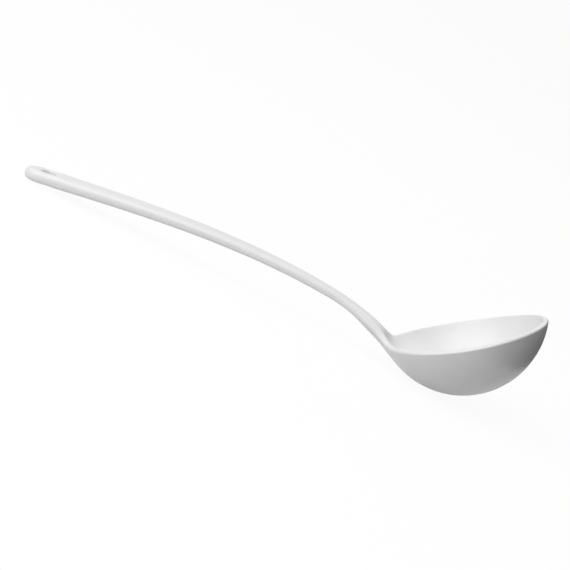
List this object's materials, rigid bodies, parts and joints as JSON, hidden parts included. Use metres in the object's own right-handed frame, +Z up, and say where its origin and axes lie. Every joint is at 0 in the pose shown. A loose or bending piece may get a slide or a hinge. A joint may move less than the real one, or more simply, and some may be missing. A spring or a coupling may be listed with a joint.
{
  "type": "sauce ladle",
  "caption": "White melamine sauce ladle with a deep round bowl, a flared neck and a long arched handle that ends in a hanging hole.",
  "frame": {"origin": "middle of the bounding box's underside, on the surface the ladle lies on", "axes": "+X along the length, from the handle's end to the bowl; +Z up, off the surface; +Y across"},
  "size_m": [0.2282, 0.07, 0.0492],
  "materials": {
    "melamine": "white, compression-moulded, glossy"
  },
  "bodies": {
    "root": {"bowl": "melamine", "handle": "melamine"}
  },
  "joints": []
}
